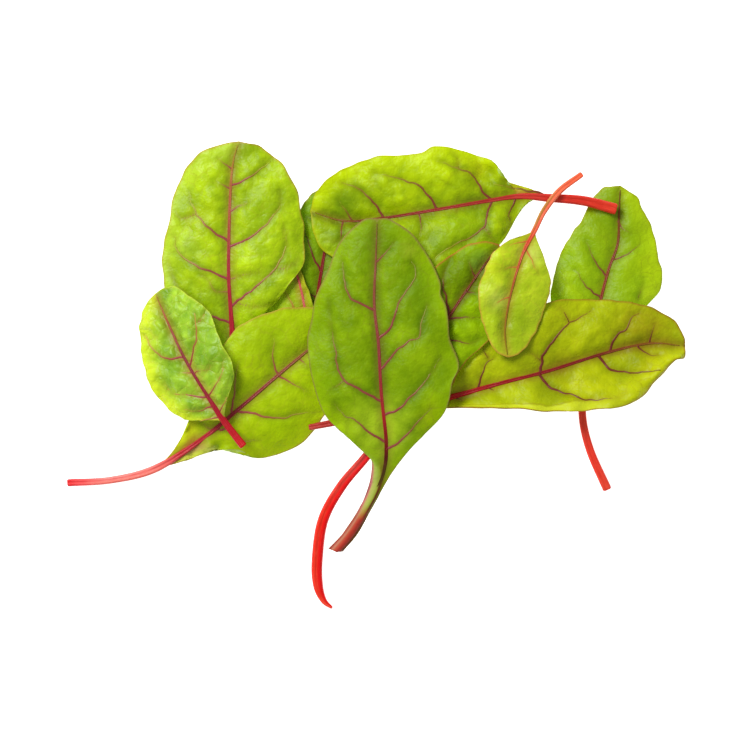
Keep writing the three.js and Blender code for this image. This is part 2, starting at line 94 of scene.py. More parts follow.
LEAVES["top_left"] = USUAL | dict(
    base=2, quilt=1.0, ruffle=0.35,
    rib=[(-45, -18.5, 3), (-48, -5.5, 2.8), (-50, 6, 2.6), (-50.5, 17.5, 2.2), (-51.5, 33, 1.8),
        (-51.5, 47, 1.6), (-51, 64.5, 1.3), (-50, 75, 1), (-48, 82, 0.8)],
    left=[(-57.5, 8), (-68.5, 16.5), (-74, 29.5), (-75, 43.5), (-72.5, 56), (-69, 68.5), (-62, 77.5),
        (-54, 81)],
    right=[(-44.5, 11), (-37.5, 21.5), (-31, 30.5), (-25.5, 39), (-25, 49), (-27.5, 64.5), (-32.5, 73.5),
        (-39.5, 79.5)],
    veins=[[(-51.5, 18.5), (-57.5, 20.5), (-63.5, 26), (-68.5, 29.5), (-72, 35.5), (-73, 39.5)],
        [(-51.5, 33.5), (-57.5, 36), (-63.5, 38.5), (-68, 41.5), (-70, 44.5), (-70.5, 49)],
        [(-52, 47), (-57.5, 50.5), (-61, 54), (-64, 58.5), (-65.5, 64)], [(-51.5, 65.5), (-55.5, 67.5)],
        [(-51, 72.5), (-55.5, 76)],
        [(-50.5, 24), (-46, 27.5), (-40.5, 32), (-36.5, 35.5), (-33, 41), (-31.5, 46), (-32, 51.5)],
        [(-51, 45), (-46, 47), (-40.5, 50.5), (-36.5, 55), (-33.5, 60), (-33.5, 64.5)],
        [(-51.5, 57), (-48, 59), (-43.5, 60.5)], [(-51, 66.5), (-46.5, 68), (-42.5, 70.5), (-37, 75)]],
    forks=[[(-34.5, 37), (-29.5, 38), (-27, 41)], [(-49.5, 25), (-42.5, 24), (-36, 24.5)],
        [(-51.5, 29), (-56.5, 29.5), (-58.5, 33), (-61, 35)], [(-63, 56.5), (-68, 55), (-70.5, 57.5)],
        [(-51.5, 33.5), (-47.5, 34.5), (-43.5, 35.5), (-40, 36)]],
)
LEAVES["top"] = USUAL | dict(
    base=2, quilt=1.1, ruffle=0.4, taper=0.03,
    rib=[(84.5, 58, 4), (73, 61, 3.5), (61, 62, 3), (50.5, 62.5, 2.4), (40, 61, 2), (22.5, 58, 1.6),
        (3, 55, 1.3), (-11, 54, 1), (-23, 57.5, 0.8)],
    left=[(52, 62.6), (49.9, 61.6), (49.2, 59), (48.4, 54.6), (46, 49.2), (43, 45.2), (36.5, 40.5),
        (22.5, 36.5), (5, 36), (-11, 39), (-20.5, 46)],
    right=[(57, 64.7), (50, 66.4), (44, 68.3), (43.2, 70.5), (41.5, 74.2), (38, 76.2), (26.5, 79.5),
        (20, 80), (14.5, 77.5), (2, 76.5), (-11, 72.5), (-20, 65.5)],
    veins=[[(49, 62), (47.5, 58.5), (46.5, 56), (47, 52.5), (45.5, 49)],
        [(40.5, 60), (39, 56), (38, 51.5), (33, 48), (27.5, 45.5), (20.5, 40.5)],
        [(15, 56.5), (16, 52.5), (15, 48)], [(-11.5, 54), (-12, 50.5), (-13, 47), (-18, 47)],
        [(60, 62.7), (56, 64), (52.2, 64.7), (47, 65.7), (41, 67)],
        [(40.5, 61), (37.5, 64.5), (34.5, 69), (32, 71), (27.5, 72.5), (21, 75)],
        [(21.5, 58), (19, 62), (15.5, 66), (10, 68), (-0.5, 71)],
        [(2.5, 55.5), (0.5, 59), (-5, 64.5), (-9, 66.5), (-14.5, 67.5)],
        [(-8.5, 54.5), (-11, 58.5), (-12.5, 61)]],
    forks=[[(34.5, 69), (36, 71.5), (36, 75)], [(29, 72.5), (28.5, 76), (27, 78)],
        [(38, 51.5), (40.5, 48), (43, 45)], [(28.5, 58.5), (28, 56)]],
)
LEAVES["lower_left"] = USUAL | dict(
    base=2, quilt=0.9, ruffle=0.35, seen=0.68,
    rib=[(-108.5, -38, 2.6), (-93, -37, 2.5), (-77.5, -33, 2.8), (-61.5, -23, 2.5), (-47.5, -11.5, 2),
        (-33.5, 0.5, 1.8), (-22, 10, 1.4), (-11.5, 18.5, 1)],
    left=[(-76.9, -30.1), (-72, -27.3), (-68.5, -22.8), (-66, -17.5), (-60.5, -3.5), (-53, 11), (-44, 19.5),
        (-32, 23.5), (-20, 23)],
    right=[(-75.1, -34), (-68.5, -31.2), (-58, -27), (-48.5, -26.2), (-41, -29.3), (-30, -26.5),
        (-21, -18.5), (-12.5, -5.5), (-9, 8.5)],
    veins=[[(-50.5, -12.5), (-49.5, -7), (-49, 0), (-47.5, 5)], [(-34, -0.5), (-36, 5), (-35.5, 13)],
        [(-54, -19.5), (-51, -19.5), (-46, -23), (-41, -23)],
        [(-47.5, -13), (-43.5, -13.5), (-40, -14.5), (-32, -15), (-26.5, -13.5), (-19.5, -13)],
        [(-33, -1), (-27.5, -4), (-23.5, -6)], [(-26, 5), (-23.5, 2.5)]],
    forks=[[(-57, -19.5), (-60, -17.5), (-61.5, -15)]],
)
LEAVES["right"] = USUAL | dict(
    base=2, quilt=1.0, ruffle=0.35, seen=0.68, bold=1.12, turned=(0.7, 0.02, 0.6, 1.3),
    rib=[(-23.5, -18.5, 2.1), (-5.5, -15, 2.8), (12, -11.5, 2.8), (27.5, -7.5, 2.8), (43.5, -3, 2.3),
        (61, 1.5, 1.9), (80, 7.5, 1.6), (96, 11, 1.2), (108.5, 10, 0.8)],
    left=[(19, -1), (34.5, 11), (48.5, 20), (61, 25.5), (75.5, 26.5), (94, 24.5), (104.5, 19), (108, 13.5)],
    right=[(17, -13), (26, -11.6), (36.5, -11.5), (50, -11.9), (60, -12.6), (77.5, -12.3), (90.5, -9),
        (99, -1), (104.5, 5), (108, 6)],
    veins=[[(36, -4), (37.5, 1), (39, 4.5), (41.5, 6)],
        [(57.5, 0.5), (58, 4), (59, 8), (65, 15.5), (67.5, 18), (71.5, 20), (75.5, 22.5)],
        [(82, 8), (82.5, 11), (85, 14), (88, 16.5), (89.5, 20), (92.5, 21.5)],
        [(96, 11.5), (96.5, 14), (98, 17.5)], [(27.5, -8), (31, -9)], [(39.5, -4.5), (41.5, -5.5)],
        [(58, -1), (61, -4.5), (64.5, -6), (69.5, -7.5), (73, -9), (78.5, -9), (84.5, -8), (87, -5.5)],
        [(78.5, 6), (81.5, 2.5), (85.5, 1), (89.5, 0.5), (99.5, 1.5)], [(92.5, 9), (96, 7), (99.5, 7)]],
    forks=[[(39, 6), (37.5, 9), (38, 11.5)], [(67.5, 18.5), (65.5, 22), (63, 24)],
        [(57.5, 5), (56.5, 6), (54, 8)]],
)
LEAVES["middle"] = USUAL | dict(
    base=7, quilt=0.9, ruffle=0.3,
    rib=[(-15.3, -82, 1), (-18.3, -79.4, 2.2), (-20.3, -74, 3.5), (-20.6, -65, 3.9), (-18.5, -51, 3.8),
        (-12, -39, 3.6), (-2.5, -27.5, 3.2), (8, -12.5, 2.6), (19, 8, 1.8), (25.5, 20, 1.5),
        (33.5, 32, 1.2), (43, 45.5, 0.9)],
    left=[(6.5, -6), (9, 10.5), (13.5, 24.5), (20, 36.5), (28.5, 43.5), (37, 46.5)],
    right=[(13.5, -12.5), (25.5, -4.5), (31.5, 5), (39.5, 12), (44.5, 24.5), (46, 36.5)],
    veins=[[(25.5, 21), (24.5, 26), (23.5, 31.5), (24, 36.5), (26.5, 41)],
        [(35, 34), (33.5, 36.5), (32.5, 39.5)], [(21, 12), (26.5, 12), (33, 11), (37.5, 13)],
        [(26.5, 19.5), (31, 20), (36.5, 20)], [(31.5, 29), (35, 28.5)]],
)
LEAVES["centre"] = USUAL | dict(
    base=0, quilt=0.8, ruffle=0.35, seen=0.72, hood=0.24, slack=9,
    rib=[(-14.1, -62, 2.6), (-8.6, -55, 2.4), (-2, -44.2, 2.1), (2.6, -34.5, 2), (3.7, -24, 1.9),
        (2, -7, 1.7), (1, 10.5, 1.6), (-0.5, 24.5, 1.4), (0, 39.5, 1.1), (0.5, 54.5, 0.8)],
    left=[(-16.6, -61), (-11.1, -55), (-6, -47.3), (-3, -40.3), (-1.5, -34), (-2.2, -28), (-9, -22.5),
        (-19, -12), (-23.5, 7), (-22, 23), (-17, 36.5), (-11, 48), (-5, 54)],
    right=[(-11.5, -62), (-6.2, -55.6), (-1.6, -47.3), (2.2, -40.3), (6.3, -33.3), (12.5, -25.3), (24, -13),
        (26.5, -3), (29, 3), (25.5, 12), (24.5, 23.5), (22.5, 28), (22, 34), (13.5, 48), (6, 54)],
    veins=[[(2.5, -23), (-2, -20.5), (-6.5, -16), (-11, -14), (-14.5, -10)],
        [(1.5, -9), (-5, -5.5), (-11, -2), (-13.5, 3.5), (-14, 8), (-15.5, 17.5), (-16.5, 26)],
        [(-0.5, 22.5), (-5, 24.5), (-9, 27), (-11, 33), (-11.5, 39.5)],
        [(3.5, -26), (9, -23), (15, -16), (20.5, -10.5)],
        [(3, -14), (8.5, -11.5), (13, -7), (15, -5), (19.5, 1), (22.5, 6)],
        [(2.5, 2.5), (6.5, 7.5), (11.5, 11.5), (15, 13), (16, 19), (18, 24.5)],
        [(1.5, 13), (5.5, 17), (8.5, 26), (11, 29.5), (14, 35), (12.5, 39.5)],
        [(0, 39), (3, 42), (6.5, 46)]],
    forks=[[(-11, -2), (-13, -3.5), (-15.5, -5)]],
)
LEAVES["left"] = USUAL | dict(
    base=1, quilt=1.2, ruffle=0.4, seen=0.66,
    rib=[(-46, -25, 2.8), (-53, -16, 2.4), (-60, -5.5, 1.9), (-67, 6, 1.6), (-73, 18.5, 1.2),
        (-77.5, 28.5, 0.8)],
    left=[(-59.5, -18), (-69, -14.5), (-79, -4.5), (-82, 7), (-83, 17), (-80.5, 25)],
    right=[(-50.5, -10.5), (-50.5, -5.5), (-49.5, 2.5), (-54.5, 13), (-58.5, 22), (-67, 29), (-73, 31)],
    veins=[[(-55.5, -15), (-61.5, -16)], [(-58.5, -11.5), (-62, -12.5), (-67, -12.5)],
        [(-61, -8), (-65, -7), (-70.5, -6.5), (-74, -3.5)], [(-65.5, 0.5), (-68.5, 0.5)],
        [(-68, 6), (-74, 6), (-78.5, 9.5), (-81, 14)], [(-54.5, -13), (-53, -10.5), (-51.5, -7)],
        [(-58, -7), (-55.5, -3.5), (-54, -1), (-52.5, 4.5)], [(-62.5, 1), (-59, 1.5), (-56.5, 3.5)],
        [(-64.5, 4), (-63.5, 8.5), (-62.5, 14), (-63.5, 21.5)]],
    forks=[[(-62, 18.5), (-60.5, 20), (-59.5, 22.5)]],
)
LEAVES["small"] = USUAL | dict(
    base=3, quilt=0.8, ruffle=0.25, seen=0.56, bold=0.85,
    rib=[(72.5, 70.5, 2.1), (64.5, 64.5, 2.4), (59, 57.5, 2.2), (55.5, 50.5, 2), (51, 41.5, 1.7),
        (47, 28, 1.3), (45, 15.5, 1), (46, 6, 0.8)],
    left=[(57.2, 49.6), (57.6, 44.5), (60, 36.5), (61, 31.5), (59, 23), (54.5, 13), (50, 7.5)],
    right=[(53.7, 51.6), (51.2, 49.2), (46, 46.8), (40.2, 41.3), (37, 34), (35.5, 26), (38, 15.5),
        (41.5, 8.5)],
    veins=[[(52.5, 43.5), (54.5, 39.5), (56.5, 35)], [(52.5, 46.5), (48.5, 46), (46, 44.5)],
        [(50, 37.5), (46.5, 37.5), (43.5, 36.5)], [(46.5, 27), (43.5, 26), (40.5, 23.5)]],
)
print(len(LEAVES), "leaves,", sum(len(leaf["veins"]) for leaf in LEAVES.values()), "side veins")

# %% [markdown]
# ## Smooth lines
# A few points give a whole margin if a smooth curve runs through them. A Catmull-Rom curve does
# that without handles to set, so it suits points that were read off a leaf.

# %% A line that is read by its share of the length
FINE = 16


def clamped(values):
    return np.clip(values, 0, 1)


class Line:
    def __init__(self, points):
        p = np.array(points, float)
        p = np.vstack([2 * p[0] - p[1], p, 2 * p[-1] - p[-2]])
        t = np.arange(FINE)[:, None] / FINE
        parts = [
            0.5 * (2 * b + (c - a) * t + (2 * a - 5 * b + 4 * c - d) * t**2
                   + (3 * b - a - 3 * c + d) * t**3)
            for a, b, c, d in zip(p, p[1:], p[2:], p[3:])
        ]
        self.points = np.vstack(parts + [p[-2:-1]])
        steps = np.hypot(*np.diff(self.points[:, :2], axis=0).T)
        self.run = np.concatenate([[0], np.cumsum(steps)])
        self.length = self.run[-1]

    def at(self, share):
        s = clamped(share) * self.length
        return np.stack([np.interp(s, self.run, c) for c in self.points.T], axis=-1)

    def ahead(self, share):
        way = (self.at(np.asarray(share) + 0.012) - self.at(np.asarray(share) - 0.012))[..., :2]
        return way / np.linalg.norm(way, axis=-1, keepdims=True)

    def aside(self, share):
        """The direction to the right of the line, in plan."""
        way = self.ahead(share)
        return np.stack([way[..., 1], -way[..., 0]], axis=-1)

    def share_of(self, knot):
        return self.run[FINE * knot] / self.length


ribs = {name: Line(leaf["rib"]) for name, leaf in LEAVES.items()}
starts = {name: ribs[name].share_of(leaf["base"]) for name, leaf in LEAVES.items()}
print("leaf lengths in mm:", {name: round(rib.length) for name, rib in ribs.items()})

# %% [markdown]
# ## Heights from the solids
# The solids say how high each blade lies. Their upper corners, and points over the solid stalk,
# are the posts of a thin plate: the smoothest sheet on given posts. The fine blade is hung on
# it, so it lies where its solid does. A little slack lets it pass close by a post. In a narrow
# foot the corners stand too close for a calm sheet, so there the stalk alone holds it up.

# %% A thin plate on posts
def plate_kernel(square):
    return 0.5 * square * np.log(square + 1e-9)


def thin_plate(at, heights, slack):
    count = len(at)
    plane = np.c_[np.ones(count), at]
    square = ((at[:, None] - at[None]) ** 2).sum(-1)
    system = np.block([[plate_kernel(square) + slack * np.eye(count), plane],
                       [plane.T, np.zeros((3, 3))]])
    weights = np.linalg.solve(system, np.r_[heights, 0, 0, 0])

    def height(where):
        square = ((where[:, None] - at[None]) ** 2).sum(-1)
        return plate_kernel(square) @ weights[:count] + weights[count] + where @ weights[count + 1:]

    return height


corners = np.array([(0, 0), (1, 0), (0, 1), (1, 1)], float)
print("middle of a warped square:", thin_plate(corners, [0, 1, 1, 0], 0)(corners[:1] + 0.5).round(2))

# %% Posts on the solids
SOLID_THICK, SOLID_RINGS, SOLID_RIB_END = 0.7, 17, 0.85
BLADE_OVER_STALK = 0.12  # height of the blade's middle over the stalk's, in stalk widths
NARROW, NARROW_SHARE = 3.2, 0.12  # half width in mm and share of the blade


def stalk_heights(name):
    """Shares along the stalk and the height of its solid's middle there."""
    rib, start = ribs[name], starts[name]
    spots = np.array([v.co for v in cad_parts[name + "_stem"].data.vertices]) / MM
    shares = np.linspace(0, start + (1 - start) * SOLID_RIB_END, SOLID_RINGS)
    found = []
    for share, centre, way, side in zip(shares, rib.at(shares), rib.ahead(shares), rib.aside(shares)):
        off = spots[:, :2] - centre[:2]
        beside = np.abs(off @ side)
        ring = (np.abs(off @ way) < 0.3) & (beside > 0.42 * centre[2]) & (beside < 0.6 * centre[2])
        if ring.any():
            found.append((share, spots[ring, 2].mean()))
    return np.array(found)


def blade_posts(name):
    """Plan points and heights of the blade's middle surface. The rib alone sets a narrow foot."""
    node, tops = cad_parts[name + "_blade"], {}
    for face in node.data.polygons:
        if face.normal.z > 0.3:
            for i in face.vertices:
                spot = node.data.vertices[i].co / MM
                tops.setdefault(tuple(round(c, 2) for c in spot), []).append(face.normal.z)
    spots = np.array(list(tops))
    tilt = np.array([sum(n) / len(n) for n in tops.values()])
    rib, start, known = ribs[name], starts[name], stalk_heights(name)
    known = known[known[:, 0] >= start]
    centres = rib.at(known[:, 0])
    apart = np.linalg.norm(spots[:, None, :2] - rib.at(np.linspace(0, 1, 300))[None, :, :2], axis=-1)
    within = (apart.argmin(1) / 299 - start) / (1 - start)
    foot = within < max(LEAVES[name]["hood"], NARROW_SHARE)
    wide = ~((apart.min(1) < NARROW) & foot)
    spots, tilt = spots[wide], tilt[wide]
    return (np.vstack([spots[:, :2], centres[:, :2]]),
            np.r_[spots[:, 2] - 0.5 * SOLID_THICK / tilt, known[:, 1] + BLADE_OVER_STALK * centres[:, 2]])


sheets = {name: thin_plate(*blade_posts(name), leaf["slack"]) for name, leaf in LEAVES.items()}
spine = ribs["centre"].at(np.linspace(0.3, 1, 5))[:, :2]
print("height of the centre leaf's rib in mm:", sheets["centre"](spine).round(1))

# %% [markdown]
# ## Swellings between the veins
# A chard blade grows faster than its veins, so it puffs up between them and the veins lie in
# the valleys. The distance to the nearest vein gives that relief. A little noise on top keeps
# one swelling from looking like the next, and near the blade's foot all of it dies away.

# %% Veins that grow from the rib
def ripple(x, y, z):
    """Smooth noise between -1 and 1 at each place."""
    return np.array([noise.noise(Vector(spot)) for spot in np.broadcast(x, y, z)])


def attached(rib, knots):
    """A side vein with its foot on the rib, a little nearer the stalk than its first point."""
    shares = np.linspace(0, 1, 400)
    gaps = np.linalg.norm(rib.at(shares)[:, :2] - np.array(knots[0]), axis=1)
    if gaps.min() < 0.5:
        return Line(knots)
    foot = rib.at(shares[gaps.argmin()] - 0.4 * gaps.min() / rib.length)[:2]
    return Line([tuple(foot), *knots])


def crooked(line):
    """No vein is a clean curve: shift it sideways a little, but not at its foot."""
    sway = 0.5 * ripple(*(line.points[:, :2].T / 2.6), 7) * clamped(line.run / 2.5)
    line.points = line.points + sway[:, None] * line.aside(line.run / line.length)
    return line


veins = {n: [crooked(attached(ribs[n], v)) for v in leaf["veins"]] for n, leaf in LEAVES.items()}
forks = {n: [crooked(Line(f)) for f in leaf["forks"]] for n, leaf in LEAVES.items()}
print("side veins of the top leaf in mm:", [round(vein.length) for vein in veins["top"]])

# %% Relief of a blade
VALLEY, RIB_VALLEY, VEIN_ZONE = 1.9, 1.6, 0.8  # reaches in mm
PUFF, SINK, ROUGH = 0.55, 0.3, 0.36  # shares of the quilt


def falloff(distance, reach):
    """1 at no distance, falling to nothing in a bell curve."""
    return np.exp(-((distance / reach) ** 2))


def distance_to(lines, where):
    """Distance from each point to the nearest line, and the share of that line's length there."""
    near, share = np.full(len(where), 1e9), np.zeros(len(where))
    for line in lines:
        t = np.linspace(0, 1, max(4, int(line.length / 0.4)))
        square = ((where[:, None] - line.at(t)[None, :, :2]) ** 2).sum(-1)
        closest = square.argmin(1)
        least = square[np.arange(len(where)), closest]
        share = np.where(least < near, t[closest], share)
        near = np.minimum(near, least)
    return np.sqrt(near), share


def relief(name, where):
    """Height of the relief in mm, nearness of a vein, distance to the rib, and the swelling."""
    leaf, start = LEAVES[name], starts[name]
    spine = Line(ribs[name].at(np.linspace(start, 1, 12))[:, :2])
    side, side_share = distance_to(veins[name] + forks[name], where)
    middle, reach = distance_to([spine], where)
    stalk = ribs[name].at(start + (1 - start) * reach)[:, 2]
    middle = np.maximum(0, middle - 0.5 * leaf["seen"] * stalk)
    near = np.minimum(side + 0.8 * side_share, 0.9 * middle)
    swell = 1 - falloff(near, VALLEY)
    x, y = where.T
    seed = len(name) * 1.7
    rough = ripple(x / 4.2, y / 4.2, seed) + 0.5 * ripple(x / 2.1, y / 2.1, seed + 5)
    rough = rough * (1 - falloff(middle, RIB_VALLEY))
    foot = max(leaf["hood"], 0.05)
    calm = np.clip((reach - foot) / 0.1, 0.12, 1)
    height = leaf["quilt"] * calm * (PUFF * swell - SINK + ROUGH * rough)
    return height, falloff(side, VEIN_ZONE) * (1 - 0.75 * side_share), middle, swell


margin = np.array(LEAVES["left"]["right"])
print("relief along a margin in mm:", relief("left", margin)[0].round(2))

# %% [markdown]
# ## A blade as a fine sheet
# The sheet is a grid whose rows run from the rib forward to the margin, the way the side veins
# do. Its columns stand closer at the margin, where it ruffles. Solidify then gives it the
# thickness of a leaf. Masks for the finish are kept on the points: how near a vein or the rim
# is, and how far along the leaf a point lies.

# %% Rows that run as the side veins do
# Pairs tie a share of the rib to the share of the margin where its row ends, left then right.
ROW_KNOTS = dict(
    right_back=([(0.1, 0.25), (0.35, 0.55), (0.52, 0.72)], [(0.12, 0.3), (0.44, 0.62)]),
    back=([(0.1, 0.2), (0.29, 0.42), (0.51, 0.7)], [(0.2, 0.4), (0.45, 0.66)]),
    back_small=([(0.25, 0.45), (0.6, 0.75)], [(0.25, 0.42), (0.6, 0.74)]),
    top_left=([(0.05, 0.2), (0.17, 0.46), (0.36, 0.63), (0.54, 0.76)],
        [(0.05, 0.2), (0.24, 0.56), (0.51, 0.74)]),
    top=([(0.1, 0.12), (0.25, 0.46), (0.45, 0.6), (0.62, 0.74)], [(0.1, 0.12), (0.24, 0.42), (0.47, 0.66)]),
    lower_left=([(0.15, 0.25), (0.41, 0.56), (0.64, 0.74)], [(0.12, 0.2), (0.32, 0.45), (0.46, 0.6)]),
    right=([(0.1, 0.15), (0.25, 0.4), (0.47, 0.62), (0.73, 0.8)],
        [(0.12, 0.15), (0.28, 0.38), (0.47, 0.64)]),
    middle=([(0.2, 0.35), (0.4, 0.58), (0.58, 0.74)], [(0.2, 0.3), (0.42, 0.52), (0.56, 0.67)]),
    centre=([(0.1, 0.09), (0.2, 0.18), (0.28, 0.3), (0.37, 0.48), (0.5, 0.7), (0.72, 0.86)],
        [(0.1, 0.085), (0.2, 0.17), (0.28, 0.26), (0.36, 0.44), (0.46, 0.6), (0.6, 0.76), (0.74, 0.86)]),
    left=([(0.08, 0.14), (0.22, 0.46), (0.4, 0.62)], [(0.08, 0.14), (0.22, 0.35), (0.45, 0.66)]),
    small=([(0.16, 0.3), (0.4, 0.58), (0.65, 0.78)], [(0.12, 0.28), (0.31, 0.48), (0.55, 0.72)]),
)
LAST_KNOTS = [(0.85, 0.91), (1, 1)]
COLUMNS, ROW_PITCH, LAST_ROW, BOW = 30, 0.75, 0.985, 0.22  # a half's, in mm, a share, a row's


def half_blade(name, side, along, half):
    """Plan points of one half from rib to margin, its width and the margin's share, row by row."""
    leaf, rib, start = LEAVES[name], ribs[name], starts[name]
    margin = Line([*(leaf["left"] if side < 0 else leaf["right"]), leaf["rib"][-1][:2]])
    knots = np.array([(0, 0), *ROW_KNOTS[name][0 if side < 0 else 1], *LAST_KNOTS])
    reach = np.interp(along, *knots.T)
    share = start + (1 - start) * along
    root, way = rib.at(share)[:, None, :2], rib.ahead(share)[:, None]
    edge = margin.at(reach)[:, None]
    span = np.linalg.norm(edge - root, axis=-1, keepdims=True)
    wavy = ripple(reach * 16, side, rib.length)[:, None, None]
    edge = edge + (edge - root) / span * 0.9 * wavy * clamped(span / 8 - 0.5)
    if leaf["base"]:
        hidden = 0.35 * rib.at(share)[:, None, 2:] / span
        taper = clamped(along / leaf["taper"])[:, None, None]
        edge = root + (edge - root) * np.maximum(taper, np.minimum(hidden, 1))
    u = half[None, :, None]
    fade = (clamped(4 * along) * clamped((1 - along) * 8))[:, None, None]
    return root + (edge - root) * u - way * BOW * span * u * (1 - u) * fade, span[..., 0], reach


def blade_grid(name):
    """Plan points row by row and the tip last. For each: across from -1 at the left margin to 1,
    along from foot to tip, the width of its half blade, and a place on the margin for noise."""
    rib, start = ribs[name], starts[name]
    rows = int(rib.length * (1 - start) / ROW_PITCH)
    along = np.linspace(0, LAST_ROW, rows)
    half = 1 - (1 - np.linspace(0, 1, COLUMNS + 1)[1:]) ** 1.25
    left, left_span, left_reach = half_blade(name, -1, along, half)
    right, right_span, right_reach = half_blade(name, 1, along, half)
    spine = rib.at(start + (1 - start) * along)[:, None, :2]
    plan = np.concatenate([left[:, ::-1], spine, right], axis=1)
    where = np.vstack([plan.reshape(-1, 2), rib.at(1.0)[None, :2]])
    across = np.tile(np.concatenate([-half[::-1], [0], half]), rows)
    span = np.concatenate([left_span.repeat(COLUMNS + 1, 1), right_span.repeat(COLUMNS, 1)], 1)
    reach = np.concatenate([np.tile(left_reach[:, None], COLUMNS + 1),
                            np.tile(right_reach[:, None] + 2, COLUMNS)], axis=1)
    return (where, np.append(across, 0), np.append(along.repeat(plan.shape[1]), 1),
            np.append(span, 0), np.append(reach, 1))


print("widest half of the top leaf:", blade_grid("top")[3].max().round(1), "mm")

# %% Build the blades
BLADE_THICK = 0.42
HOOD_DEPTH, HOOD_CURVE, HOOD_SLOPE = 1.6, 0.38, 14
RIM, BORDER = 0.5, 4.5  # reach of the margin's two zones in mm


def quads(rows, width, each):
    """Faces between the rows of a grid. With as many to a row as it has points, rows are rings."""
    return [
        (i * width + j, i * width + (j + 1) % width, (i + 1) * width + (j + 1) % width,
         (i + 1) * width + j)
        for i in range(rows - 1) for j in range(each)
    ]


def new_piece(name, points, faces, masks, node):
    mesh = bpy.data.meshes.new(name)
    mesh.from_pydata([tuple(p) for p in np.asarray(points) * MM], [], faces)
    for key, values in masks.items():
        mask = mesh.attributes.new(key, "FLOAT", "POINT")
        mask.data.foreach_set("value", np.asarray(values, np.float32))
    mesh.shade_smooth()
    piece = bpy.data.objects.new(name, mesh)
    bpy.context.scene.collection.objects.link(piece)
    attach(piece, "root")
    if node:
        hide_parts(node)
    return piece


def build_blade(name):
    leaf, node = LEAVES[name], name + "_blade"
    where, across, along, span, reach = blade_grid(name)
    height, near_vein, middle, swell = relief(name, where)
    u = np.abs(across)
    ruffle = ripple(reach * 9, len(name), 3) * u**5 * clamped(span / 10)
    z = sheets[name](where) + height + leaf["ruffle"] * 2 * ruffle
    if leaf["turned"]:
        begin, first, last, rise = leaf["turned"]
        window = clamped((along - first) * 10) * clamped((last - along) * 5)
        z += rise * clamped((across - begin) / (1 - begin)) ** 2 * window
    closed = clamped((leaf["hood"] - along) * HOOD_SLOPE)
    z = z - closed * np.minimum(HOOD_CURVE * (u * span) ** 2, HOOD_DEPTH)
    z = np.maximum(z, 0.5 * BLADE_THICK + 0.03)
    width, tip = 2 * COLUMNS + 1, len(where) - 1
    faces = quads(tip // width, width, width - 1)
    faces += [(tip - width + j, tip - width + j + 1, tip) for j in range(width - 1)]
    masks = {
        "vein_near": near_vein, "rib_near": falloff(middle, RIB_VALLEY), "swell": swell,
        "rim": falloff((1 - u) * span, RIM), "border": falloff((1 - u) * span, BORDER),
        "along": along, "across": across,
    }
    piece = new_piece(name + "_leaf", np.c_[where, z], faces, masks, node)
    thick = piece.modifiers.new("thickness", "SOLIDIFY")
    thick.thickness, thick.offset = BLADE_THICK * MM, 0
    thick.material_offset = 1
    return piece


blades = {name: build_blade(name) for name in LEAVES}
print(sum(len(blade.data.vertices) for blade in blades.values()), "points in the blades")

# %% [markdown]
# ## Side veins
# A side vein stands a little proud of the blade and thins out towards the margin. A tapering
# tube that is half sunk in the blade keeps its edge crisp at any distance, which a painted
# line on a coarse grid would not.

# %% Build the side veins
VEIN_SIDES, VEIN_FLATNESS = 8, 0.4
VEIN_RADII = {"vein": (0.48, 0.13), "fork": (0.26, 0.1)}  # at foot and end
FORK_FADE = 0.35  # how far the colour has faded where a fork starts


def tube(centres, side, width, height, section):
    """Rings of the section round each centre: its x to the side in plan, its y along Z."""
    rings = [
        centre + np.outer(section[:, 0] * w, [*away, 0]) + np.outer(section[:, 1] * h, [0, 0, 1])
        for centre, away, w, h in zip(centres, side, width, height)
    ]
    sides, count = len(section), len(rings)
    faces = quads(count, sides, sides)
    faces += [tuple(range(sides))[::-1], tuple(range((count - 1) * sides, count * sides))]
    return np.vstack(rings), faces


def build_side_veins(name):
    angle = np.linspace(0, 2 * math.pi, VEIN_SIDES, endpoint=False)
    section = np.c_[-np.cos(angle), np.sin(angle)]
    points, faces, fade = [], [], []
    for kind, lines in (("vein", veins[name]), ("fork", forks[name])):
        foot, end = VEIN_RADII[kind]
        for line in lines:
            t = np.linspace(0, 1, max(6, int(line.length / 0.6)))
            where = line.at(t)
            radius = foot * (1 - t) ** 0.8 + end * t
            radius = radius * LEAVES[name]["bold"] * min(1, 0.45 + line.length / 40)
            z = sheets[name](where) + relief(name, where)[0] + 0.5 * BLADE_THICK - 0.01
            z = np.maximum(z, BLADE_THICK)
            ring, made = tube(np.c_[where, z], line.aside(t), radius, radius * VEIN_FLATNESS, section)
            faces += [tuple(i + len(points) for i in face) for face in made]
            points += list(ring)
            gone = t if kind == "vein" else FORK_FADE + (1 - FORK_FADE) * t
            fade += list(np.repeat(gone, VEIN_SIDES))
    return new_piece(name + "_side_veins", points, faces, {"fade": fade}, None)


side_veins = {name: build_side_veins(name) for name in LEAVES}
print({name: len(veins[name] + forks[name]) for name in LEAVES}, "veins")

# %% [markdown]
# ## Stalk and midrib
# One rod runs from the cut end through the blade. It is round below and has a shallow channel
# on top, it is widest below the blade and thins out towards the tip. Before the blade it lies
# where the solid stalk does, and in the blade it lies in the sheet and stands a little proud.

# %% Build the stalks
STALK_SIDES, STALK_FLATNESS = 28, 0.42
RIB_PROUD, FOOT_PROUD, HOOD_SINK = 0.2, 0.45, 0.85  # mm up, more at the foot, less in a hood
ENTRY = 8  # mm over which the rod passes into the sheet
CHANNEL = 0.17  # half width and depth of the channel, in stalk widths


